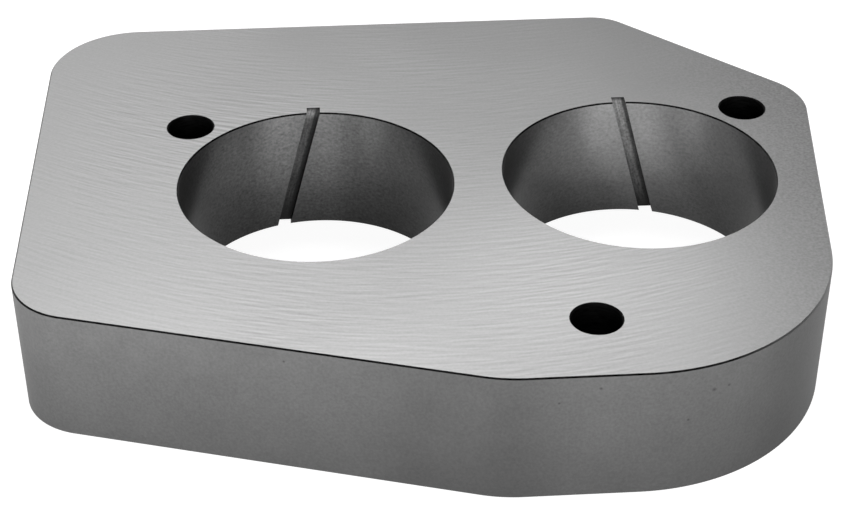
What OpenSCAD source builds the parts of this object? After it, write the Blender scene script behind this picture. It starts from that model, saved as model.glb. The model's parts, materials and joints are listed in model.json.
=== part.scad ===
// Throttle body spacer: one solid aluminium plate with two air bores, three bolt holes
// and an inclined swirl slot in the rear wall of each bore.
// Origin: midway between the bore axes, on the underside. +X right, +Y rear, +Z up.

/* [Plate] */
// Thickness of the plate
plate_t = 25.4; // [12:0.1:60]
// 45 degree edge break on every rim
edge_break = 0.25; // [0.1:0.05:1]

/* [Air bores] */
// Diameter of each air bore
bore_d = 50.8; // [40:0.1:70]
// Metal left between the two bores
bore_web = 9.525; // [3:0.1:40]

/* [Outline sides] */
// Metal between the right bore and the right side
right_wall = 7.9; // [4:0.1:30]
// Turn of the right side from the front-to-rear direction
right_lean = 8; // [2:0.5:15]
// Metal between the right bore and the rear right cut
cut_wall = 20.2; // [15:0.1:25]
// Direction that the rear right cut faces, from +X
cut_facing = 45; // [40:1:55]
// Metal between the bores and the rear side
rear_wall = 36.5; // [33:0.1:45]
// Metal between the left bore and the left side
left_wall = 27.5; // [15:0.1:60]
// Metal between the left bore and the front left side
front_left_wall = 24.6; // [20:0.1:30]
// Turn of the front left side from the side-to-side direction
front_left_lean = 16.7; // [12:0.1:20]
// Metal between the bores and the front side
front_wall = 35.5; // [32:0.1:38]

/* [Outline corners] */
// Radius between the right side and the rear right cut
right_corner_r = 12.7; // [3:0.1:20]
// Radius between the rear right cut and the rear side
rear_right_corner_r = 9.5; // [3:0.1:20]
// Radius between the rear side and the left side
rear_left_corner_r = 17; // [3:0.1:30]
// Radius between the left side and the front left side
front_left_corner_r = 12.7; // [3:0.1:30]
// Radius between the front left side and the front side
front_corner_r = 25.4; // [3:0.1:60]
// Radius between the front side and the right side
front_right_corner_r = 38.1; // [10:0.1:45]

/* [Bolt holes] */
// Diameter of each bolt hole
bolt_hole_d = 8.73; // [5:0.01:12]
// Metal between a rear bolt hole and its bore
rear_bolt_wall = 2.48; // [1.5:0.01:6]
// Direction of a rear bolt hole from its bore's axis, up from the line of the bores
rear_bolt_angle = 42.4; // [30:0.1:60]
// Metal between the front bolt hole and the right bore
front_bolt_wall = 17.9; // [8:0.1:22]
// Direction of the front bolt hole from the right bore's axis, past straight ahead
front_bolt_angle = 17.5; // [5:0.1:25]

/* [Swirl slots] */
// Width of a slot, square to its run
slot_w = 2.5; // [1:0.1:6]
// Depth of a slot behind the bore wall, at both faces of the plate
slot_depth = 2.1; // [0.5:0.1:4]
// Lean of a slot from the bore axis
slot_lean = 15; // [0:0.5:25]

/* [Hidden] */
$fn = 180;

// Cutters run this far past the faces they open on
past = 1;
// Straight sides lie this far inside the corner discs, so that the two surfaces cross cleanly
shy = 0.001;

bore_r = bore_d / 2;
bore_x = (bore_d + bore_web) / 2;
bolt_r = bolt_hole_d / 2;

// Each side: the direction it faces, the bore it is measured from and the metal outside that bore
sides = [
    [-right_lean, bore_x, right_wall],
    [cut_facing, bore_x, cut_wall],
    [90, 0, rear_wall],
    [180, -bore_x, left_wall],
    [270 - front_left_lean, -bore_x, front_left_wall],
    [270, 0, front_wall]
];

// Corner i lies between side i and the next
corner_r = [
    right_corner_r,
    rear_right_corner_r,
    rear_left_corner_r,
    front_left_corner_r,
    front_corner_r,
    front_right_corner_r
];

// Each bolt hole: its bore, the metal between them and the direction from the bore's axis
bolts = [
    [-bore_x, rear_bolt_wall, 180 - rear_bolt_angle],
    [bore_x, rear_bolt_wall, rear_bolt_angle],
    [bore_x, front_bolt_wall, 270 - front_bolt_angle]
];

last = len(sides) - 1;
function facing(i) = sides[i % len(sides)][0] + (i > last ? 360 : 0);
function towards(a) = [cos(a), sin(a)];

// Distance of side i from the origin, square to the side
function reach(i) = let (s = sides[i % len(sides)]) bore_r + s[2] + s[1] * cos(s[0]);

// Point that lies d1 along direction a1 and d2 along direction a2
function meet(a1, d1, a2, d2) =
    [d1 * sin(a2) - d2 * sin(a1), d2 * cos(a1) - d1 * cos(a2)] / sin(a2 - a1);

// Centre of corner i, one radius inside both of its sides
function centre(i) = meet(facing(i), reach(i) - corner_r[i], facing(i + 1), reach(i + 1) - corner_r[i]);

// Ends of the straight stretch of side i, level with the centres of the corners beside it
function side_end(i) = centre(i) + (corner_r[i] - shy) * towards(facing(i));
function side_start(i) =
    let (k = (i + last) % len(sides))
    centre(k) + (corner_r[k] - shy) * towards(facing(i));

function bolt_at(b) = [b[0], 0] + (bore_r + b[1] + bolt_r) * towards(b[2]);

// Straight sides, cut in to the centre of each corner, with their upper and lower rims broken
module straight_sides() {
    difference() {
        linear_extrude(plate_t)
            polygon([for (i = [0 : last]) each [side_start(i), side_end(i), centre(i)]]);
        for (i = [0 : last])
            translate(side_start(i))
                rotate(facing(i))
                    rotate([90, 0, 180])
                        translate([0, 0, -past])
                            linear_extrude(norm(side_end(i) - side_start(i)) + 2 * past)
                                rims();
    }
}

// Section of the metal broken off a side, measured in from the side: a small corner at each face
module rims() {
    for (upper = [0, 1])
        translate([0, upper * plate_t])
            mirror([0, upper])
                polygon([[-past, -past], [edge_break + past, -past], [-past, edge_break + past]]);
}

// Rounded corner i: a whole disc that lies inside both of its sides and makes their turn
module corner(i) {
    r = corner_r[i];
    translate(centre(i))
        rotate_extrude()
            polygon([
                [0, 0],
                [r - edge_break, 0],
                [r, edge_break],
                [r, plate_t - edge_break],
                [r - edge_break, plate_t],
                [0, plate_t]
            ]);
}

// Round hole through the plate with both rims broken
module through_hole(r) {
    rim = r + edge_break + past;
    rotate_extrude()
        polygon([
            [0, -past],
            [rim, -past],
            [r, edge_break],
            [r, plate_t - edge_break],
            [rim, plate_t + past],
            [0, plate_t + past]
        ]);
}

// Straight slot that leaves the top face at the rear of the bore and leans outwards going down.
// Its floor draws in with the curve of the wall, so the slot is as deep at one face as at the other.
module swirl_slot(side) {
    run = plate_t * tan(slot_lean);
    draw_in = bore_r - sqrt(bore_r * bore_r - run * run);
    tilt = atan(draw_in / plate_t * cos(slot_lean));
    length = norm([plate_t, run, draw_in]) + 2 * slot_w;
    translate([0, bore_r + slot_depth, plate_t])
        rotate([-tilt, -side * slot_lean, 0])
            translate([-slot_w / 2, -bore_r, slot_w - length])
                cube([slot_w, bore_r, length]);
}

module spacer_plate() {
    color([0.67, 0.67, 0.68])
        difference() {
            union() {
                straight_sides();
                for (i = [0 : last])
                    corner(i);
            }
            for (side = [-1, 1])
                translate([side * bore_x, 0, 0]) {
                    through_hole(bore_r);
                    swirl_slot(side);
                }
            for (b = bolts)
                translate(bolt_at(b))
                    through_hole(bolt_r);
        }
}

spacer_plate();
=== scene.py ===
import json
import math

import bpy
from mathutils import Matrix, Vector


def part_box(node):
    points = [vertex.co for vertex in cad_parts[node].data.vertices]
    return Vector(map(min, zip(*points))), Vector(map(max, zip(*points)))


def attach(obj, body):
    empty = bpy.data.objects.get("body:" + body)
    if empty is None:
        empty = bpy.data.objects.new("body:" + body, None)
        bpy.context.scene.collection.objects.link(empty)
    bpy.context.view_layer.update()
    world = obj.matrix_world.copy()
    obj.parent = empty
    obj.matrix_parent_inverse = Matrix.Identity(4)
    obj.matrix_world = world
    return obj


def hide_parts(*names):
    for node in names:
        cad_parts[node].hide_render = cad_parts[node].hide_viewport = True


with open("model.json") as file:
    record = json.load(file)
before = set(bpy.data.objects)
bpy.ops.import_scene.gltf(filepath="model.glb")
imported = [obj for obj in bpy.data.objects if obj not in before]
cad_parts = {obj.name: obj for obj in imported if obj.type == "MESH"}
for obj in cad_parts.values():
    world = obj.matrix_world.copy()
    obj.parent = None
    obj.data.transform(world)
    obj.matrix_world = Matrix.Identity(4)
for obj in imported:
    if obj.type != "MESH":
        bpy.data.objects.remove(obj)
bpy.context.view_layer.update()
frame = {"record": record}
scene = bpy.context.scene

# Spacer plate: one thick aluminium plate, sawn and milled to a six-sided outline, with two bored air
# passages, three drilled bolt holes and a broached swirl slot in the rear wall of each bore. Its
# faces are milled flat with one wide cutter, and its rims are broken by hand afterwards.
MM = 0.001
MOUNTS = {mount["name"]: mount for mount in frame["record"]["mounts"]}
plate_bottom, plate_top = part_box("spacer_plate")
plate_thickness = plate_top.z - plate_bottom.z
edge_break = 0.25 * MM
bore_radius = MOUNTS["right_bore"]["dims"]["r_mm"] * MM
bore_x = MOUNTS["right_bore"]["pos_m"][0]
bolt_hole_radius = MOUNTS["front_bolt"]["dims"]["r_mm"] * MM


def towards(degrees, distance=1.0):
    """Point at that distance from the origin, in that direction from +X."""
    angle = math.radians(degrees)
    return Vector((math.cos(angle), math.sin(angle), 0)) * distance


# Each side of the outline: the direction it faces, the bore that it is measured from, the metal
# outside that bore in mm, and the radius in mm of the corner between it and the next side
outline_sides = [
    (-8.0, bore_x, 7.9, 12.7),
    (45.0, bore_x, 20.2, 9.5),
    (90.0, 0.0, 36.5, 17.0),
    (180.0, -bore_x, 27.5, 12.7),
    (253.3, -bore_x, 24.6, 25.4),
    (270.0, 0.0, 35.5, 38.1),
]


def outline_corner(index):
    """Sharp corner where a side of the outline would meet the next one, and its radius."""
    facing, from_x, metal, radius = outline_sides[index]
    next_facing, next_from_x, next_metal, _ = outline_sides[(index + 1) % len(outline_sides)]
    reach = bore_radius + metal * MM + from_x * towards(facing).x
    next_reach = bore_radius + next_metal * MM + next_from_x * towards(next_facing).x
    turn = math.sin(math.radians(next_facing - facing))
    across = towards(facing - 90) * next_reach - towards(next_facing - 90) * reach
    return -across / turn, radius * MM


def add_node(tree, kind, sockets=(), **settings):
    """Adds one node. Its sockets, by place or by name, take plain values or what they link from."""
    made = tree.nodes.new(kind)
    for name, value in settings.items():
        setattr(made, name, value)
    for name, value in sockets.items() if isinstance(sockets, dict) else enumerate(sockets):
        source = value.outputs[0] if isinstance(value, bpy.types.Node) else value
        if isinstance(source, bpy.types.NodeSocket):
            tree.links.new(source, made.inputs[name])
        else:
            made.inputs[name].default_value = source
    return made


def srgb(code):
    """Linear colour of an sRGB hex code."""
    parts = [int(code[i:i + 2], 16) / 255 for i in (1, 3, 5)]
    return [p / 12.92 if p <= 0.04045 else ((p + 0.055) / 1.055) ** 2.4 for p in parts] + [1.0]


def new_material(name):
    """Material with a bare Principled shader, which is returned beside its tree."""
    material = bpy.data.materials.new(name)
    material.use_nodes = True
    tree = material.node_tree
    return material, tree, tree.nodes["Principled BSDF"]


# Face-milled aluminium, a satin metal: one wide cutter, fed from front to rear, leaves faint ridges
# on arcs that bow to the front, a millimetre or so apart. Their lit and shaded flanks are painted as
# light and dark lines over a fine grit, which is drawn coarser than real, at 0.5 mm, so that it
# shows.
cutter_radius = 133 * MM
cutter_line = -7.9 * MM
ridge_length = 7 * MM
ridge_spacing = 0.85 * MM
ridge_flank = 0.45  # from a ridge's light flank to its dark one, as a share of the spacing
grit_size = 0.5 * MM
drift_size = 25 * MM
milled_face, tree, shader = new_material("face_milled_aluminium")
place = add_node(tree, "ShaderNodeTexCoord").outputs["Object"]
axes = add_node(tree, "ShaderNodeSeparateXYZ", [place]).outputs
aside = add_node(tree, "ShaderNodeMath", [axes["X"], cutter_line], operation="SUBTRACT")
aside = add_node(tree, "ShaderNodeMath", [aside, 2.0], operation="POWER")
bow = add_node(tree, "ShaderNodeMath", [cutter_radius ** 2, aside], operation="SUBTRACT")
bow = add_node(tree, "ShaderNodeMath", [bow], operation="SQRT")
feed = add_node(tree, "ShaderNodeMath", [axes["Y"], bow], operation="ADD")
along_arc = add_node(tree, "ShaderNodeCombineXYZ", [axes["X"], feed])
light_flank = add_node(
    tree,
    "ShaderNodeVectorMath",
    [along_arc, (1 / ridge_length, 1 / ridge_spacing, 1)],
    operation="MULTIPLY",
)
dark_flank = add_node(
    tree, "ShaderNodeVectorMath", [light_flank, (0.0, ridge_flank, 0.0)], operation="ADD"
)
ridge, next_ridge = [
    add_node(tree, "ShaderNodeTexNoise", {"Vector": flank, "Scale": 1.0, "Detail": 1.0})
    for flank in (light_flank, dark_flank)
]
# Painted light and shade of the ridges: the ridge noise at the light flank minus that at the dark
# flank
painted_ridge_shade = add_node(tree, "ShaderNodeMath", [ridge, next_ridge], operation="SUBTRACT")
# How plain the ridges are drifts slowly. They are plainest along the cutter's line and grow towards
# the left, and they are calmer behind the bores.
plain_reach = 70 * MM
plain_share = 0.45
gain_to_left = (-3.0, 0.0, 0.0)  # for each metre
rub = add_node(
    tree,
    "ShaderNodeMapRange",
    {"Value": aside, "From Max": plain_reach ** 2, "To Min": plain_share, "To Max": 0.0},
)
drift = add_node(
    tree, "ShaderNodeTexNoise", {"Vector": place, "Scale": 1 / drift_size, "Detail": 1.0}
)
rub = add_node(tree, "ShaderNodeMath", [rub, drift], operation="ADD")
gain = add_node(tree, "ShaderNodeVectorMath", [place, gain_to_left], operation="DOT_PRODUCT")
rub = add_node(tree, "ShaderNodeMath", [rub, gain.outputs["Value"]], operation="ADD")
calm = add_node(
    tree,
    "ShaderNodeMapRange",
    {"Value": axes["Y"], "From Min": 10 * MM, "From Max": 40 * MM, "To Min": 0.4, "To Max": 0.65},
)
rub = add_node(tree, "ShaderNodeMath", [rub, calm], operation="SUBTRACT")
# The ridges are plainer on a patch in front of the right bore, where a highlight is painted too, and
# round the left bolt hole.
painted_patch_highlight, patch_rub, left_hole_rub = 0.25, 0.25, 0.6
patch, round_left_hole = [
    add_node(
        tree,
        "ShaderNodeMapRange",
        {
            "Value": add_node(
                tree, "ShaderNodeVectorMath", [place, middle], operation="DISTANCE"
            ).outputs["Value"],
            "From Min": reach,
            "From Max": 5 * MM,
        },
        interpolation_type="SMOOTHSTEP",
    )
    for middle, reach in (
        ((22 * MM, -28 * MM, 25 * MM), 42 * MM),
        ((-52 * MM, 26 * MM, 25 * MM), 35 * MM),
    )
]
rub = add_node(tree, "ShaderNodeMath", [patch, patch_rub, rub], operation="MULTIPLY_ADD")
rub = add_node(
    tree, "ShaderNodeMath", [round_left_hole, left_hole_rub, rub], operation="MULTIPLY_ADD"
)
# The right end is painted darker, as shade, and is grittier, with hardly any ridges.
painted_end_shade, end_rub, least_rub = -0.18, -0.9, 0.1
plate_grit, end_grit = 0.2, 0.6
right_end = add_node(
    tree, "ShaderNodeMapRange", {"Value": axes["X"], "From Min": 35 * MM, "From Max": 65 * MM}
)
rub = add_node(tree, "ShaderNodeMath", [right_end, end_rub, rub], operation="MULTIPLY_ADD")
rub = add_node(tree, "ShaderNodeMath", [rub, least_rub], operation="MAXIMUM")
middle_tone = 0.5
lines = add_node(tree, "ShaderNodeMath", [painted_ridge_shade, rub, middle_tone], operation="MULTIPLY_ADD")
grit = add_node(
    tree, "ShaderNodeTexNoise", {"Vector": place, "Scale": 1 / grit_size, "Detail": 1.0}
)
grit_share = add_node(
    tree, "ShaderNodeMath", [right_end, end_grit, plate_grit], operation="MULTIPLY_ADD"
)
tone = add_node(
    tree, "ShaderNodeMix", {"Factor": grit_share, "A": lines, "B": grit}, data_type="FLOAT"
)
# Painted highlight on the patch in front of the right bore
tone = add_node(tree, "ShaderNodeMath", [patch, painted_patch_highlight, tone], operation="MULTIPLY_ADD")
# Painted shade towards the right end
tone = add_node(tree, "ShaderNodeMath", [right_end, painted_end_shade, tone], operation="MULTIPLY_ADD")
face_tones = add_node(tree, "ShaderNodeValToRGB", [tone])
face_tones.color_ramp.elements[0].color = srgb("#6d6d6d")
face_tones.color_ramp.elements[1].color = srgb("#a7a7a7")
tree.links.new(face_tones.outputs["Color"], shader.inputs["Base Color"])
gloss = add_node(
    tree,
    "ShaderNodeMapRange",
    {"Value": drift, "From Min": 0.3, "From Max": 0.7, "To Min": 0.43, "To Max": 0.47},
)
tree.links.new(gloss.outputs["Result"], shader.inputs["Roughness"])
relief = add_node(
    tree, "ShaderNodeBump", {"Height": ridge, "Strength": 0.1, "Distance": 0.006 * MM}
)
tree.links.new(relief.outputs["Normal"], shader.inputs["Normal"])
shader.inputs["Metallic"].default_value = 1.0

# Sawn aluminium, blasted matt: a fine even grain with soft cloudy patches, with painted shade that
# greys it towards the floor, and a few small pits where the blasting has opened the metal, painted
# dark. The grain is drawn coarser than real, at 0.5 mm, so that it shows.
grain_size = 0.5 * MM
cloud_size = 7 * MM
cloud_share = 0.35
blasted_side, tree, shader = new_material("blasted_aluminium")
place = add_node(tree, "ShaderNodeTexCoord").outputs["Object"]
grain = add_node(
    tree, "ShaderNodeTexNoise", {"Vector": place, "Scale": 1 / grain_size, "Detail": 2.0}
)
cloud = add_node(
    tree, "ShaderNodeTexNoise", {"Vector": place, "Scale": 1 / cloud_size, "Detail": 3.0}
)
tone = add_node(
    tree, "ShaderNodeMix", {"Factor": cloud_share, "A": grain, "B": cloud}, data_type="FLOAT"
)
side_tones = add_node(tree, "ShaderNodeValToRGB", [tone])
side_tones.color_ramp.elements[0].position = 0.1
side_tones.color_ramp.elements[0].color = srgb("#636363")
side_tones.color_ramp.elements[1].position = 0.9
side_tones.color_ramp.elements[1].color = srgb("#868686")
# Painted light and shade from left to right: light at the left end, darker at the front left corner
# and the right sweep
side_span = 150 * MM
axes = add_node(tree, "ShaderNodeSeparateXYZ", [place]).outputs
across = add_node(
    tree, "ShaderNodeMath", [axes["X"], 1 / side_span, 0.5], operation="MULTIPLY_ADD"
)
painted_side_shade = add_node(tree, "ShaderNodeValToRGB", [across])
painted_side_shade.color_ramp.interpolation = "EASE"
painted_side_shade.color_ramp.elements[0].color = srgb("#ffffff")
painted_side_shade.color_ramp.elements[1].color = srgb("#bebebe")
for position, code in (
    (0.3, "#f4f4f4"), (0.42, "#dcdcdc"), (0.5, "#dadada"), (0.58, "#f2f2f2"), (0.75, "#ececec"),
    (0.84, "#c6c6c6"),
):
    painted_side_shade.color_ramp.elements.new(position).color = srgb(code)
painted_shade_and_pits = add_node(
    tree, "ShaderNodeVectorMath", [side_tones, painted_side_shade], operation="MULTIPLY"
).outputs["Vector"]
# Pits: the place and the radius of each, in mm. Each is painted dark, as the shade in its hollow.
for x, y, z, radius in (
    (14.5, -60.9, 22.8, 0.35), (7.8, -60.9, 20.1, 0.30), (36.1, -58.2, 20.3, 0.35),
    (33.5, -59.2, 20.2, 0.50), (29.4, -60.2, 14.9, 0.35), (-36.5, -50.3, 22.8, 0.30),
):
    from_pit = add_node(
        tree, "ShaderNodeVectorMath", [place, (x * MM, y * MM, z * MM)], operation="DISTANCE"
    )
    inside = add_node(
        tree,
        "ShaderNodeMapRange",
        {"Value": from_pit.outputs["Value"], "From Min": radius * MM, "From Max": 0.0},
    )
    painted_shade_and_pits = add_node(
        tree,
        "ShaderNodeMixRGB",
        {"Fac": inside, "Color1": painted_shade_and_pits, "Color2": srgb("#404040")},
    ).outputs["Color"]
# Painted shade: the colour darkens where the floor hems the side in, towards its foot
painted_recess_shade = add_node(tree, "ShaderNodeAmbientOcclusion", {"Color": painted_shade_and_pits, "Distance": 45 * MM})
tree.links.new(painted_recess_shade.outputs["Color"], shader.inputs["Base Color"])
relief = add_node(
    tree, "ShaderNodeBump", {"Height": grain, "Strength": 0.2, "Distance": 0.05 * MM}
)
tree.links.new(relief.outputs["Normal"], shader.inputs["Normal"])
shader.inputs["Metallic"].default_value = 0.4
shader.inputs["Roughness"].default_value = 0.6

# Bored aluminium: the boring bar's fine feed rings, broken up into short level streaks and specks.
# The rings draw every highlight out up and down the wall, and painted shade darkens the wall as it
# goes down.
# Rings and specks are drawn coarser than real, at about 0.5 mm, so that they show.
ring_spacing = 0.45 * MM
ring_streak = 0.9 * MM
speck_size = 0.5 * MM
bored_wall, tree, shader = new_material("bored_aluminium")
place = add_node(tree, "ShaderNodeTexCoord").outputs["Object"]
ring_place = add_node(
    tree,
    "ShaderNodeMapping",
    {"Vector": place, "Scale": (1 / ring_streak, 1 / ring_streak, 1 / ring_spacing)},
)
rings = add_node(tree, "ShaderNodeTexNoise", {"Vector": ring_place, "Scale": 1.0, "Detail": 2.0})
speck = add_node(
    tree, "ShaderNodeTexNoise", {"Vector": place, "Scale": 1 / speck_size, "Detail": 1.0}
)
tone = add_node(tree, "ShaderNodeMix", {"Factor": 0.5, "A": rings, "B": speck}, data_type="FLOAT")
# The right bore is painted brighter than the left one, as painted light.
axes = add_node(tree, "ShaderNodeSeparateXYZ", [place]).outputs
painted_right_bore_light = add_node(
    tree,
    "ShaderNodeMapRange",
    {"Value": axes["X"], "From Min": -bore_x, "From Max": bore_x, "To Max": 0.38},
)
tone = add_node(tree, "ShaderNodeMath", [tone, painted_right_bore_light], operation="ADD")
bore_tones = add_node(tree, "ShaderNodeValToRGB", [tone])
bore_tones.color_ramp.elements[0].color = srgb("#6c6c6c")
bore_tones.color_ramp.elements[1].color = srgb("#ffffff")
# A highlight is painted on each wall, brightest a little to the left of its rear and shaded towards
# its sides. In the right bore that painted band leans to the right going down.
band_lean = 0.55
side_of_plate = add_node(tree, "ShaderNodeMath", [axes["X"]], operation="SIGN")
in_bore = add_node(
    tree, "ShaderNodeMath", [side_of_plate, -bore_x, axes["X"]], operation="MULTIPLY_ADD"
)
on_right = add_node(tree, "ShaderNodeMath", [side_of_plate, 0.0], operation="MAXIMUM")
drop = add_node(tree, "ShaderNodeMath", [plate_thickness, axes["Z"]], operation="SUBTRACT")
lean = add_node(tree, "ShaderNodeMath", [drop, -band_lean], operation="MULTIPLY")
in_band = add_node(tree, "ShaderNodeMath", [lean, on_right, in_bore], operation="MULTIPLY_ADD")
around = add_node(
    tree,
    "ShaderNodeMapRange",
    {"Value": in_band, "From Min": -bore_radius, "From Max": bore_radius},
)
painted_wall_highlight = add_node(tree, "ShaderNodeValToRGB", [around])
painted_wall_highlight.color_ramp.interpolation = "EASE"
painted_wall_highlight.color_ramp.elements[0].color = srgb("#c2c2c2")
painted_wall_highlight.color_ramp.elements[1].color = srgb("#bfbfbf")
for position, code in (
    (0.22, "#e3e3e3"), (0.34, "#ffffff"), (0.52, "#fafafa"), (0.67, "#d4d4d4"), (0.82, "#c4c4c4"),
):
    painted_wall_highlight.color_ramp.elements.new(position).color = srgb(code)
bore_tones = add_node(
    tree, "ShaderNodeVectorMath", [bore_tones, painted_wall_highlight], operation="MULTIPLY"
)
# A painted sheen brightens a belt halfway down the wall, and painted shade darkens it towards the
# rim and the foot. The belt rises towards the bore's two sides.
belt_rise = 0.45
aside = add_node(tree, "ShaderNodeMath", [in_bore, bore_radius], operation="DIVIDE")
aside = add_node(tree, "ShaderNodeMath", [aside, aside], operation="MULTIPLY")
sunk = add_node(tree, "ShaderNodeMath", [drop, plate_thickness], operation="DIVIDE")
sunk = add_node(tree, "ShaderNodeMath", [aside, belt_rise, sunk], operation="MULTIPLY_ADD")
painted_belt_sheen = add_node(tree, "ShaderNodeValToRGB", [sunk])
painted_belt_sheen.color_ramp.interpolation = "EASE"
painted_belt_sheen.color_ramp.elements[0].color = srgb("#e0e0e0")
painted_belt_sheen.color_ramp.elements[1].color = srgb("#dadada")
for position, code in ((0.42, "#ffffff"), (0.58, "#ffffff"), (0.82, "#e4e4e4")):
    painted_belt_sheen.color_ramp.elements.new(position).color = srgb(code)
bore_tones = add_node(
    tree, "ShaderNodeVectorMath", [bore_tones, painted_belt_sheen], operation="MULTIPLY"
)
# Painted shade: the colour darkens where the wall is hemmed in, deeper down the bore
painted_shade_fall = 1.35
painted_shade_gain = 1.17
painted_recess_shade = add_node(tree, "ShaderNodeAmbientOcclusion", {"Distance": 60 * MM}).outputs["AO"]
painted_recess_shade = add_node(tree, "ShaderNodeMath", [painted_recess_shade, painted_shade_fall], operation="POWER")
painted_recess_shade = add_node(tree, "ShaderNodeMath", [painted_recess_shade, painted_shade_gain], operation="MULTIPLY")
bore_colour = add_node(
    tree, "ShaderNodeVectorMath", {"Vector": bore_tones, "Scale": painted_recess_shade}, operation="SCALE"
)
tree.links.new(bore_colour.outputs["Vector"], shader.inputs["Base Color"])
relief = add_node(
    tree, "ShaderNodeBump", {"Height": rings, "Strength": 0.2, "Distance": 0.03 * MM}
)
tree.links.new(relief.outputs["Normal"], shader.inputs["Normal"])
upright = add_node(tree, "ShaderNodeCombineXYZ", {"Z": 1.0})
tree.links.new(upright.outputs["Vector"], shader.inputs["Tangent"])
shader.inputs["Metallic"].default_value = 1.0
shader.inputs["Roughness"].default_value = 0.38
shader.inputs["Anisotropic"].default_value = 0.8

# Broached aluminium: streaks that run the way the tool was pushed, down the slot and along its
# lean. Painted shade darkens it at the top edge, towards the foot and in the corner on the right,
# and the lip is painted light. The streaks and specks are drawn coarser than real, at about 0.4 mm,
# so that they show.
slot_lean = math.radians(15)
streak_width = 0.35 * MM
streak_depth = 0.7 * MM
streak_length = 3 * MM
speck_size = 0.45 * MM
slot_wall, tree, shader = new_material("broached_aluminium")
place = add_node(tree, "ShaderNodeTexCoord").outputs["Object"]
axes = add_node(tree, "ShaderNodeSeparateXYZ", [place]).outputs
outwards = add_node(tree, "ShaderNodeMath", [axes["X"]], operation="ABSOLUTE")
drop = add_node(tree, "ShaderNodeMath", [plate_thickness, axes["Z"]], operation="SUBTRACT")
upright = add_node(
    tree, "ShaderNodeMath", [drop, -math.tan(slot_lean), outwards], operation="MULTIPLY_ADD"
)
upright = add_node(tree, "ShaderNodeMath", [upright, bore_x], operation="SUBTRACT")
push_place = add_node(tree, "ShaderNodeCombineXYZ", [upright, axes["Y"], axes["Z"]])
push_place = add_node(
    tree,
    "ShaderNodeVectorMath",
    [push_place, (1 / streak_width, 1 / streak_depth, 1 / streak_length)],
    operation="MULTIPLY",
)
streaks = add_node(
    tree, "ShaderNodeTexNoise", {"Vector": push_place, "Scale": 1.0, "Detail": 2.0}
)
speck = add_node(
    tree, "ShaderNodeTexNoise", {"Vector": place, "Scale": 1 / speck_size, "Detail": 1.0}
)
tone = add_node(
    tree, "ShaderNodeMix", {"Factor": 0.5, "A": streaks, "B": speck}, data_type="FLOAT"
)
slot_tones = add_node(tree, "ShaderNodeValToRGB", [tone])
slot_tones.color_ramp.elements[0].position = 0.3
slot_tones.color_ramp.elements[0].color = srgb("#686868")
slot_tones.color_ramp.elements[1].position = 0.7
slot_tones.color_ramp.elements[1].color = srgb("#b0b0b0")
sunk = add_node(tree, "ShaderNodeMath", [drop, plate_thickness], operation="DIVIDE")
# Painted shade down the slot: a thin dark line at the top edge, then darker towards the foot
painted_slot_shade = add_node(tree, "ShaderNodeValToRGB", [sunk])
painted_slot_shade.color_ramp.elements[0].color = srgb("#202020")
painted_slot_shade.color_ramp.elements[1].color = srgb("#101010")
for position, code in (
    (0.035, "#ffffff"), (0.3, "#ececec"), (0.45, "#e6e6e6"), (0.58, "#b8b8b8"),
    (0.75, "#a2a2a2"), (0.9, "#606060"),
):
    painted_slot_shade.color_ramp.elements.new(position).color = srgb(code)
# The left slot is painted darker than the right one, as shade, and at the lip both are painted
# equally light.
painted_slot_light_and_shade = add_node(
    tree,
    "ShaderNodeMapRange",
    {"Value": axes["X"], "From Min": -bore_x, "From Max": bore_x, "To Min": 0.4, "To Max": 1.0},
)
lip = add_node(
    tree, "ShaderNodeMapRange", {"Value": sunk, "From Min": 0.12, "From Max": 0.06}
)
painted_slot_light_and_shade = add_node(tree, "ShaderNodeMath", [painted_slot_light_and_shade, lip], operation="MAXIMUM")
side_of_plate = add_node(tree, "ShaderNodeMath", [axes["X"]], operation="SIGN")
across = add_node(tree, "ShaderNodeMath", [upright, side_of_plate], operation="MULTIPLY")
# Painted shade in the corner on the right of each slot
corner = add_node(
    tree,
    "ShaderNodeMapRange",
    {"Value": across, "From Min": 0.3 * MM, "From Max": 0.8 * MM, "To Min": 1.0, "To Max": 0.3},
)
painted_slot_light_and_shade = add_node(tree, "ShaderNodeMath", [painted_slot_light_and_shade, corner], operation="MULTIPLY")
slot_colour = add_node(
    tree, "ShaderNodeVectorMath", [slot_tones, painted_slot_shade], operation="MULTIPLY"
).outputs["Vector"]
slot_colour = add_node(
    tree, "ShaderNodeVectorMath", {"Vector": slot_colour, "Scale": painted_slot_light_and_shade}, operation="SCALE"
)
tree.links.new(slot_colour.outputs["Vector"], shader.inputs["Base Color"])
relief = add_node(
    tree, "ShaderNodeBump", {"Height": streaks, "Strength": 0.3, "Distance": 0.03 * MM}
)
tree.links.new(relief.outputs["Normal"], shader.inputs["Normal"])
shader.inputs["Metallic"].default_value = 0.6
shader.inputs["Roughness"].default_value = 0.5

# Drilled aluminium with level feed marks, painted nearly black as the shade deep in a narrow hole
feed_spacing = 0.3 * MM
feed_streak = 2 * MM
drilled_wall, tree, shader = new_material("drilled_aluminium")
place = add_node(tree, "ShaderNodeTexCoord").outputs["Object"]
feed_place = add_node(
    tree,
    "ShaderNodeMapping",
    {"Vector": place, "Scale": (1 / feed_streak, 1 / feed_streak, 1 / feed_spacing)},
)
feed_marks = add_node(
    tree, "ShaderNodeTexNoise", {"Vector": feed_place, "Scale": 1.0, "Detail": 2.0}
)
painted_hole_shade = add_node(tree, "ShaderNodeValToRGB", [feed_marks])
painted_hole_shade.color_ramp.elements[0].position = 0.3
painted_hole_shade.color_ramp.elements[0].color = srgb("#0a0a0a")
painted_hole_shade.color_ramp.elements[1].position = 0.7
painted_hole_shade.color_ramp.elements[1].color = srgb("#202020")
tree.links.new(painted_hole_shade.outputs["Color"], shader.inputs["Base Color"])
shader.inputs["Metallic"].default_value = 1.0
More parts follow.
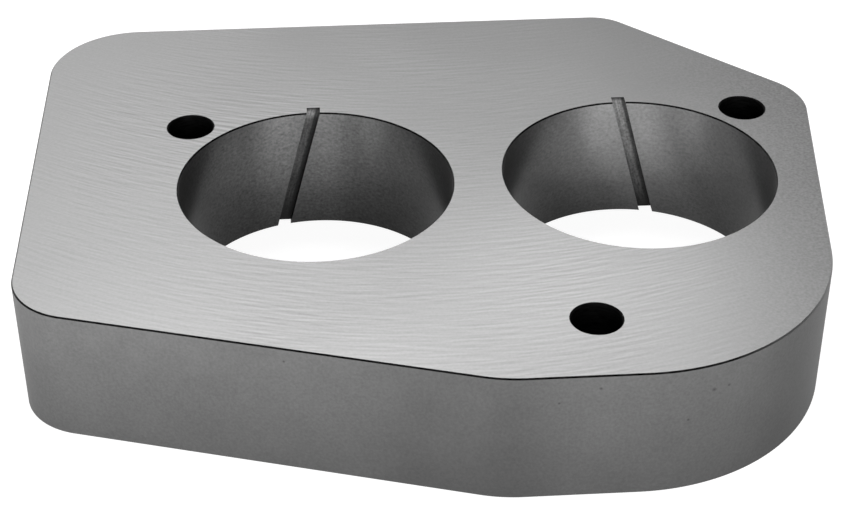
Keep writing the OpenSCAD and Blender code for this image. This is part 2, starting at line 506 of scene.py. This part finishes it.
shader.inputs["Roughness"].default_value = 0.6

# Filed aluminium, painted dark as the shade along a broken rim: short uneven file marks along a
# narrow line, drawn lighter round the right end
file_mark = 1.5 * MM
filed_rim, tree, shader = new_material("filed_aluminium")
place = add_node(tree, "ShaderNodeTexCoord").outputs["Object"]
file_marks = add_node(
    tree, "ShaderNodeTexNoise", {"Vector": place, "Scale": 1 / file_mark, "Detail": 3.0}
)
painted_rim_shade = add_node(tree, "ShaderNodeValToRGB", [file_marks])
painted_rim_shade.color_ramp.elements[0].position = 0.3
painted_rim_shade.color_ramp.elements[0].color = srgb("#0c0c0c")
painted_rim_shade.color_ramp.elements[1].position = 0.7
painted_rim_shade.color_ramp.elements[1].color = srgb("#303030")
to_right_end = (1.0, -0.35, 0.0)
towards_end = add_node(tree, "ShaderNodeVectorMath", [place, to_right_end], operation="DOT_PRODUCT")
lighter_end = add_node(
    tree,
    "ShaderNodeMapRange",
    {"Value": towards_end.outputs["Value"], "From Min": 57 * MM, "From Max": 64 * MM},
)
rim_colour = add_node(
    tree, "ShaderNodeMixRGB", {"Fac": lighter_end, "Color1": painted_rim_shade, "Color2": srgb("#7c7c7c")}
)
tree.links.new(rim_colour.outputs["Color"], shader.inputs["Base Color"])
shader.inputs["Metallic"].default_value = 1.0
shader.inputs["Roughness"].default_value = 0.4

# The slot leans outwards going down, and its floor draws in with the curve of the bore wall. Its
# cutter stands clear of the plate by the slot's width at both ends.
slot_width = 2.5 * MM
slot_depth = 2.1 * MM
slot_run = plate_thickness * math.tan(slot_lean)
slot_draw_in = bore_radius - math.sqrt(bore_radius ** 2 - slot_run ** 2)
slot_tilt = math.atan(slot_draw_in / plate_thickness * math.cos(slot_lean))
slot_length = math.hypot(plate_thickness, slot_run, slot_draw_in) + 2 * slot_width

# Layout marks that the node tree works from: the outline's sharp corners in their order, then the
# centres of the bores and the bolt holes
layout = bpy.data.meshes.new("plate_layout")
corners = [outline_corner(i) for i in range(len(outline_sides))]
rear_bolts = MOUNTS["rear_bolts"]
rear_bolt_x = rear_bolts["dims"]["spacing_x_mm"] / 2 * MM
rear_bolt_y = rear_bolts["pos_m"][1]
front_bolt_x, front_bolt_y, _ = MOUNTS["front_bolt"]["pos_m"]
holes = [
    (Vector((-bore_x, 0, 0)), bore_radius, -1),
    (Vector((bore_x, 0, 0)), bore_radius, 1),
    (Vector((-rear_bolt_x, rear_bolt_y, 0)), bolt_hole_radius, 0),
    (Vector((rear_bolt_x, rear_bolt_y, 0)), bolt_hole_radius, 0),
    (Vector((front_bolt_x, front_bolt_y, 0)), bolt_hole_radius, 0),
]
layout.from_pydata([point for point, _ in corners] + [point for point, _, _ in holes], [], [])
for name, values in {
    "corner_radius": [radius for _, radius in corners] + [0] * len(holes),
    "hole_radius": [0] * len(corners) + [radius for _, radius, _ in holes],
    "slot_side": [0] * len(corners) + [side for _, _, side in holes],
}.items():
    layout.attributes.new(name, "FLOAT", "POINT").data.foreach_set("value", values)

plate_tree = bpy.data.node_groups.new("spacer_plate_from_layout", "GeometryNodeTree")
plate_tree.interface.new_socket("Geometry", in_out="INPUT", socket_type="NodeSocketGeometry")
plate_tree.interface.new_socket("Geometry", in_out="OUTPUT", socket_type="NodeSocketGeometry")
plate_sizes = {
    "Thickness": ("NodeSocketFloat", plate_thickness),
    "Edge Break": ("NodeSocketFloat", edge_break),
    "Corner Points": ("NodeSocketInt", 48),
    "Circle Points": ("NodeSocketInt", 240),
    "Slot Width": ("NodeSocketFloat", slot_width),
    "Slot Depth": ("NodeSocketFloat", slot_depth),
    "Slot Length": ("NodeSocketFloat", slot_length),
    "Slot Lean": ("NodeSocketFloat", slot_lean),
    "Slot Tilt": ("NodeSocketFloat", slot_tilt),
    "Bore Radius": ("NodeSocketFloat", bore_radius),
    "Bolt Hole Radius": ("NodeSocketFloat", bolt_hole_radius),
    "Face Finish": ("NodeSocketMaterial", milled_face),
    "Side Finish": ("NodeSocketMaterial", blasted_side),
    "Bore Finish": ("NodeSocketMaterial", bored_wall),
    "Hole Finish": ("NodeSocketMaterial", drilled_wall),
    "Slot Finish": ("NodeSocketMaterial", slot_wall),
    "Rim Finish": ("NodeSocketMaterial", filed_rim),
}
socket_ids = {
    name: plate_tree.interface.new_socket(name, in_out="INPUT", socket_type=kind).identifier
    for name, (kind, _) in plate_sizes.items()
}
size = add_node(plate_tree, "NodeGroupInput").outputs
corner_radius, hole_radius, slot_side = [
    add_node(
        plate_tree, "GeometryNodeInputNamedAttribute", {"Name": name}, data_type="FLOAT"
    ).outputs["Attribute"]
    for name in ("corner_radius", "hole_radius", "slot_side")
]

# Section of every wall, measured from the middle of the thickness: a straight wall with its two
# broken rims, which step back into the metal
half = add_node(plate_tree, "ShaderNodeMath", [size["Thickness"], 0.5], operation="MULTIPLY")
below_rim = add_node(plate_tree, "ShaderNodeMath", [half, size["Edge Break"]], operation="SUBTRACT")
set_back, half_down, above_rim = [
    add_node(plate_tree, "ShaderNodeMath", [value, -1], operation="MULTIPLY")
    for value in (size["Edge Break"], half, below_rim)
]
section_points = [
    add_node(plate_tree, "ShaderNodeCombineXYZ", {"X": x, "Y": y})
    for x, y in ((set_back, half_down), (0.0, above_rim), (0.0, below_rim), (set_back, half))
]
section = add_node(
    plate_tree,
    "GeometryNodeCurvePrimitiveQuadrilateral",
    {f"Point {i + 1}": point for i, point in enumerate(section_points)},
    mode="POINTS",
)
section = add_node(
    plate_tree, "GeometryNodeSetSplineCyclic", {"Geometry": section, "Cyclic": False}
)

# Outline: the sharp corners in their order, joined up and each rounded to its own radius
is_hole = add_node(plate_tree, "ShaderNodeMath", [hole_radius, 0.0], operation="GREATER_THAN")
split = add_node(
    plate_tree,
    "GeometryNodeSeparateGeometry",
    {"Geometry": size["Geometry"], "Selection": is_hole},
    domain="POINT",
)
corner_points = add_node(
    plate_tree, "GeometryNodeMeshToPoints", {"Mesh": split.outputs["Inverted"]}
)
corner_path = add_node(plate_tree, "GeometryNodePointsToCurves", {"Points": corner_points})
corner_path = add_node(
    plate_tree, "GeometryNodeSetSplineCyclic", {"Geometry": corner_path, "Cyclic": True}
)
outline = add_node(
    plate_tree,
    "GeometryNodeFilletCurve",
    {"Curve": corner_path, "Count": size["Corner Points"], "Radius": corner_radius},
    mode="POLY",
)

# Bores and bolt holes: a circle of its own radius on each centre, run the other way round so that
# the metal is on the same hand as along the outline
hole_points = add_node(
    plate_tree, "GeometryNodeMeshToPoints", {"Mesh": split.outputs["Selection"]}
)
circle = add_node(
    plate_tree,
    "GeometryNodeCurvePrimitiveCircle",
    {"Resolution": size["Circle Points"], "Radius": 1.0},
    mode="RADIUS",
)
circles = add_node(
    plate_tree,
    "GeometryNodeInstanceOnPoints",
    {"Points": hole_points, "Instance": circle, "Scale": hole_radius},
)
circles = add_node(plate_tree, "GeometryNodeRealizeInstances", {"Geometry": circles})
circles = add_node(plate_tree, "GeometryNodeReverseCurve", {"Curve": circles})


def wall(loops, finish):
    """Wall with broken rims along closed loops, in its finish."""
    swept = add_node(
        plate_tree, "GeometryNodeCurveToMesh", {"Curve": loops, "Profile Curve": section}
    )
    return add_node(
        plate_tree, "GeometryNodeSetMaterial", {"Geometry": swept, "Material": finish}
    )


outer_wall = wall(outline, size["Side Finish"])
hole_walls = wall(circles, size["Hole Finish"])
half_bore = add_node(
    plate_tree, "ShaderNodeMath", [size["Bore Radius"], 0.5], operation="MULTIPLY"
)
is_bore = add_node(
    plate_tree, "ShaderNodeMath", [hole_radius, half_bore], operation="GREATER_THAN"
)
hole_walls = add_node(
    plate_tree,
    "GeometryNodeSetMaterial",
    {"Geometry": hole_walls, "Selection": is_bore, "Material": size["Bore Finish"]},
)

# Faces: the flat between the loops, set back by the edge break, at the top and turned over below.
# Walls and faces are then joined into a closed blank that stands on the floor.
weld_distance = 0.002 * MM
loops = add_node(plate_tree, "GeometryNodeJoinGeometry")
for source in (outline, circles):
    plate_tree.links.new(source.outputs[0], loops.inputs["Geometry"])
inward = add_node(
    plate_tree,
    "ShaderNodeVectorMath",
    {0: add_node(plate_tree, "GeometryNodeInputNormal"), "Scale": set_back},
    operation="SCALE",
)
face_loops = add_node(
    plate_tree, "GeometryNodeSetPosition", {"Geometry": loops, "Offset": inward.outputs["Vector"]}
)
face = add_node(plate_tree, "GeometryNodeFillCurve", {"Curve": face_loops}, mode="TRIANGLES")
face = add_node(
    plate_tree, "GeometryNodeSetMaterial", {"Geometry": face, "Material": size["Face Finish"]}
)
turned_face = add_node(plate_tree, "GeometryNodeFlipFaces", {"Mesh": face})
up_half = add_node(plate_tree, "ShaderNodeCombineXYZ", {"Z": half})
down_half = add_node(plate_tree, "ShaderNodeCombineXYZ", {"Z": half_down})
top = add_node(
    plate_tree, "GeometryNodeTransform", {"Geometry": face, "Translation": up_half}
)
underside = add_node(
    plate_tree, "GeometryNodeTransform", {"Geometry": turned_face, "Translation": down_half}
)
blank = add_node(plate_tree, "GeometryNodeJoinGeometry")
for source in (outer_wall, hole_walls, top, underside):
    plate_tree.links.new(source.outputs[0], blank.inputs["Geometry"])
blank = add_node(
    plate_tree, "GeometryNodeMergeByDistance", {"Geometry": blank, "Distance": weld_distance}
)
blank = add_node(
    plate_tree, "GeometryNodeTransform", {"Geometry": blank, "Translation": up_half}
)

# Swirl slots: one cutter on each bore, hung from the rear of the wall at the top face
cutter_size = add_node(
    plate_tree,
    "ShaderNodeCombineXYZ",
    {"X": size["Slot Width"], "Y": size["Bore Radius"], "Z": size["Slot Length"]},
)
cutter = add_node(plate_tree, "GeometryNodeMeshCube", {"Size": cutter_size})
forward = add_node(
    plate_tree, "ShaderNodeMath", [size["Bore Radius"], -0.5], operation="MULTIPLY"
)
half_length = add_node(
    plate_tree, "ShaderNodeMath", [size["Slot Length"], 0.5], operation="MULTIPLY"
)
hang = add_node(
    plate_tree, "ShaderNodeMath", [size["Slot Width"], half_length], operation="SUBTRACT"
)
cutter_place = add_node(plate_tree, "ShaderNodeCombineXYZ", {"Y": forward, "Z": hang})
cutter = add_node(
    plate_tree,
    "GeometryNodeTransform",
    {"Geometry": cutter.outputs["Mesh"], "Translation": cutter_place},
)
cutter = add_node(
    plate_tree, "GeometryNodeSetMaterial", {"Geometry": cutter, "Material": size["Slot Finish"]}
)
slot_floor = add_node(
    plate_tree, "ShaderNodeMath", [size["Bore Radius"], size["Slot Depth"]], operation="ADD"
)
slot_start = add_node(
    plate_tree, "ShaderNodeCombineXYZ", {"Y": slot_floor, "Z": size["Thickness"]}
)
slot_tops = add_node(
    plate_tree, "GeometryNodeSetPosition", {"Geometry": hole_points, "Offset": slot_start}
)
has_slot = add_node(plate_tree, "ShaderNodeMath", [slot_side], operation="ABSOLUTE")
tilt_forward, lean_left = [
    add_node(plate_tree, "ShaderNodeMath", [value, -1], operation="MULTIPLY")
    for value in (size["Slot Tilt"], size["Slot Lean"])
]
lean_outwards = add_node(
    plate_tree, "ShaderNodeMath", [lean_left, slot_side], operation="MULTIPLY"
)
cutter_turn = add_node(
    plate_tree, "ShaderNodeCombineXYZ", {"X": tilt_forward, "Y": lean_outwards}
)
cutters = add_node(
    plate_tree,
    "GeometryNodeInstanceOnPoints",
    {"Points": slot_tops, "Selection": has_slot, "Instance": cutter, "Rotation": cutter_turn},
)
cutters = add_node(plate_tree, "GeometryNodeRealizeInstances", {"Geometry": cutters})
cut_plate = add_node(
    plate_tree,
    "GeometryNodeMeshBoolean",
    {"Mesh 1": blank, "Mesh 2": cutters},
    operation="DIFFERENCE",
    solver="EXACT",
)

# Curved walls are shaded smooth, and every edge sharper than 30 degrees stays crisp
crisp_angle = math.radians(30)
smooth = add_node(
    plate_tree,
    "GeometryNodeSetShadeSmooth",
    {"Geometry": cut_plate.outputs["Mesh"], "Shade Smooth": True},
    domain="FACE",
)
edge_angle = add_node(plate_tree, "GeometryNodeInputMeshEdgeAngle").outputs["Unsigned Angle"]
is_crisp = add_node(
    plate_tree, "ShaderNodeMath", [edge_angle, crisp_angle], operation="GREATER_THAN"
)
smooth = add_node(
    plate_tree,
    "GeometryNodeSetShadeSmooth",
    {"Geometry": smooth, "Selection": is_crisp, "Shade Smooth": False},
    domain="EDGE",
)

# Broken rims are the faces that slope at about 45 degrees. Those of the bolt holes stay as drilled.
rim_slope = math.sin(math.radians(45))
slope_tolerance = 0.1
hole_tolerance = 2 * MM
facing = add_node(plate_tree, "GeometryNodeInputNormal")
upwards = add_node(plate_tree, "ShaderNodeSeparateXYZ", {"Vector": facing}).outputs["Z"]
steepness = add_node(plate_tree, "ShaderNodeMath", [upwards], operation="ABSOLUTE")
is_broken = add_node(
    plate_tree, "ShaderNodeMath", [steepness, rim_slope, slope_tolerance], operation="COMPARE"
)
on_bolt_hole = add_node(
    plate_tree,
    "ShaderNodeMath",
    [hole_radius, size["Bolt Hole Radius"], hole_tolerance],
    operation="COMPARE",
)
elsewhere = add_node(plate_tree, "ShaderNodeMath", [1.0, on_bolt_hole], operation="SUBTRACT")
on_rim = add_node(plate_tree, "ShaderNodeMath", [is_broken, elsewhere], operation="MULTIPLY")
realized = add_node(plate_tree, "GeometryNodeRealizeInstances", {"Geometry": smooth})
finished = add_node(
    plate_tree,
    "GeometryNodeSetMaterial",
    {"Geometry": realized, "Selection": on_rim, "Material": size["Rim Finish"]},
)
add_node(plate_tree, "NodeGroupOutput", {"Geometry": finished})

# The layout is run through the tree once, and what comes out is the plate's own plain mesh
builder = bpy.data.objects.new("plate_layout", layout)
scene.collection.objects.link(builder)
build = builder.modifiers.new("build", "NODES")
build.node_group = plate_tree
for name, (_, value) in plate_sizes.items():
    build[socket_ids[name]] = value
depsgraph = bpy.context.evaluated_depsgraph_get()
plate_mesh = bpy.data.meshes.new_from_object(
    builder.evaluated_get(depsgraph), preserve_all_data_layers=True, depsgraph=depsgraph
)
plate = bpy.data.objects.new("machined_plate", plate_mesh)
scene.collection.objects.link(plate)
bpy.data.objects.remove(builder)
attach(plate, "root")
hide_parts("spacer_plate")

# Studio floor: a plain white sheet under the plate, which turns up all round to stand behind it in
# a low view. It keeps the plate's shadow, and reads as plain white paper to the camera and in the
# metal.
floor_reach = 3.0
floor_rise = 0.8
floor_sides = 64
floor_mesh = bpy.data.meshes.new("floor")
floor_ring = [towards(i * 360 / floor_sides, floor_reach) for i in range(floor_sides)]
raised_ring = [point + Vector((0, 0, floor_rise)) for point in floor_ring]
sheet = [list(range(floor_sides))]
for i in range(floor_sides):
    after = (i + 1) % floor_sides
    sheet.append((after, i, i + floor_sides, after + floor_sides))
floor_mesh.from_pydata(floor_ring + raised_ring, [], sheet)
floor = bpy.data.objects.new("floor", floor_mesh)
scene.collection.objects.link(floor)
white_sheet = bpy.data.materials.new("white_paper")
white_sheet.use_nodes = True
tree = white_sheet.node_tree
tree.nodes.clear()
path = add_node(tree, "ShaderNodeLightPath").outputs
seen = add_node(
    tree, "ShaderNodeMath", [path["Is Camera Ray"], path["Is Glossy Ray"]], operation="MAXIMUM"
)
seen = add_node(
    tree, "ShaderNodeMath", [seen, path["Is Transmission Ray"]], operation="MAXIMUM"
)
paper = add_node(tree, "ShaderNodeBsdfDiffuse", {"Color": srgb("#959595")})
glow = add_node(tree, "ShaderNodeEmission", {"Color": srgb("#ffffff"), "Strength": 0.94})
bright = add_node(tree, "ShaderNodeAddShader", [paper, glow])
shown = add_node(tree, "ShaderNodeMixShader", [seen, paper, bright])
add_node(tree, "ShaderNodeOutputMaterial", {"Surface": shown})
floor_mesh.materials.append(white_sheet)

# Studio: a dim grey room with five square soft boxes. Two in front hang low and reach into the
# bores, a small one lights the left end, a weak one stands behind to the left, and one hangs over
# the rear.
world = bpy.data.worlds.new("studio")
scene.world = world
world.use_nodes = True
room = world.node_tree.nodes["Background"]
room.inputs["Color"].default_value = srgb("#ffffff")
room.inputs["Strength"].default_value = 0.1
plate_middle = Vector((0, 0, plate_thickness / 2))
# Each box: how far it is turned from the front towards the right and how high it stands, in
# degrees, its distance from the plate and its width in metres, and its power in watts
for name, turn, height, distance, width, power in (
    ("front_right_box", 24, 15, 0.9, 0.45, 3.64),
    ("front_left_box", -15, 15, 0.9, 0.45, 3.70),
    ("left_box", -50, 8, 0.45, 0.14, 0.65),
    ("rear_left_box", -150, 35, 0.5, 0.35, 0.35),
    ("overhead_box", 180, 60, 0.9, 0.45, 5.02),
):
    lamp = bpy.data.lights.new(name, "AREA")
    lamp.shape = "SQUARE"
    lamp.size = width
    lamp.energy = power
    box = bpy.data.objects.new(name, lamp)
    scene.collection.objects.link(box)
    away = towards(turn - 90) * math.cos(math.radians(height))
    away.z = math.sin(math.radians(height))
    facing = away.to_track_quat("Z", "Y").to_matrix().to_4x4()
    box.matrix_world = Matrix.Translation(plate_middle + away * distance) @ facing

# Camera: in front of the plate and a little to the left, looking down on it at 35 degrees
lens_mm = 80.78
nearest_mm = 10
sight_point = Vector((-11.447, -28.280, 25.4)) * MM
camera_distance = 332.521 * MM
camera_turn, camera_height, camera_roll = -3.7758, 34.9420, -0.0882
camera_facing = (
    Matrix.Rotation(math.radians(camera_turn), 4, "Z")
    @ Matrix.Rotation(math.radians(90 - camera_height), 4, "X")
    @ Matrix.Rotation(math.radians(camera_roll), 4, "Z")
)
camera_data = bpy.data.cameras.new("camera")
camera_data.lens = lens_mm
camera_data.clip_start = nearest_mm * MM
camera = bpy.data.objects.new("camera", camera_data)
scene.collection.objects.link(camera)
camera.matrix_world = (
    Matrix.Translation(sight_point) @ camera_facing @ Matrix.Translation((0, 0, camera_distance))
)
scene.camera = camera
scene.view_settings.view_transform = "Standard"
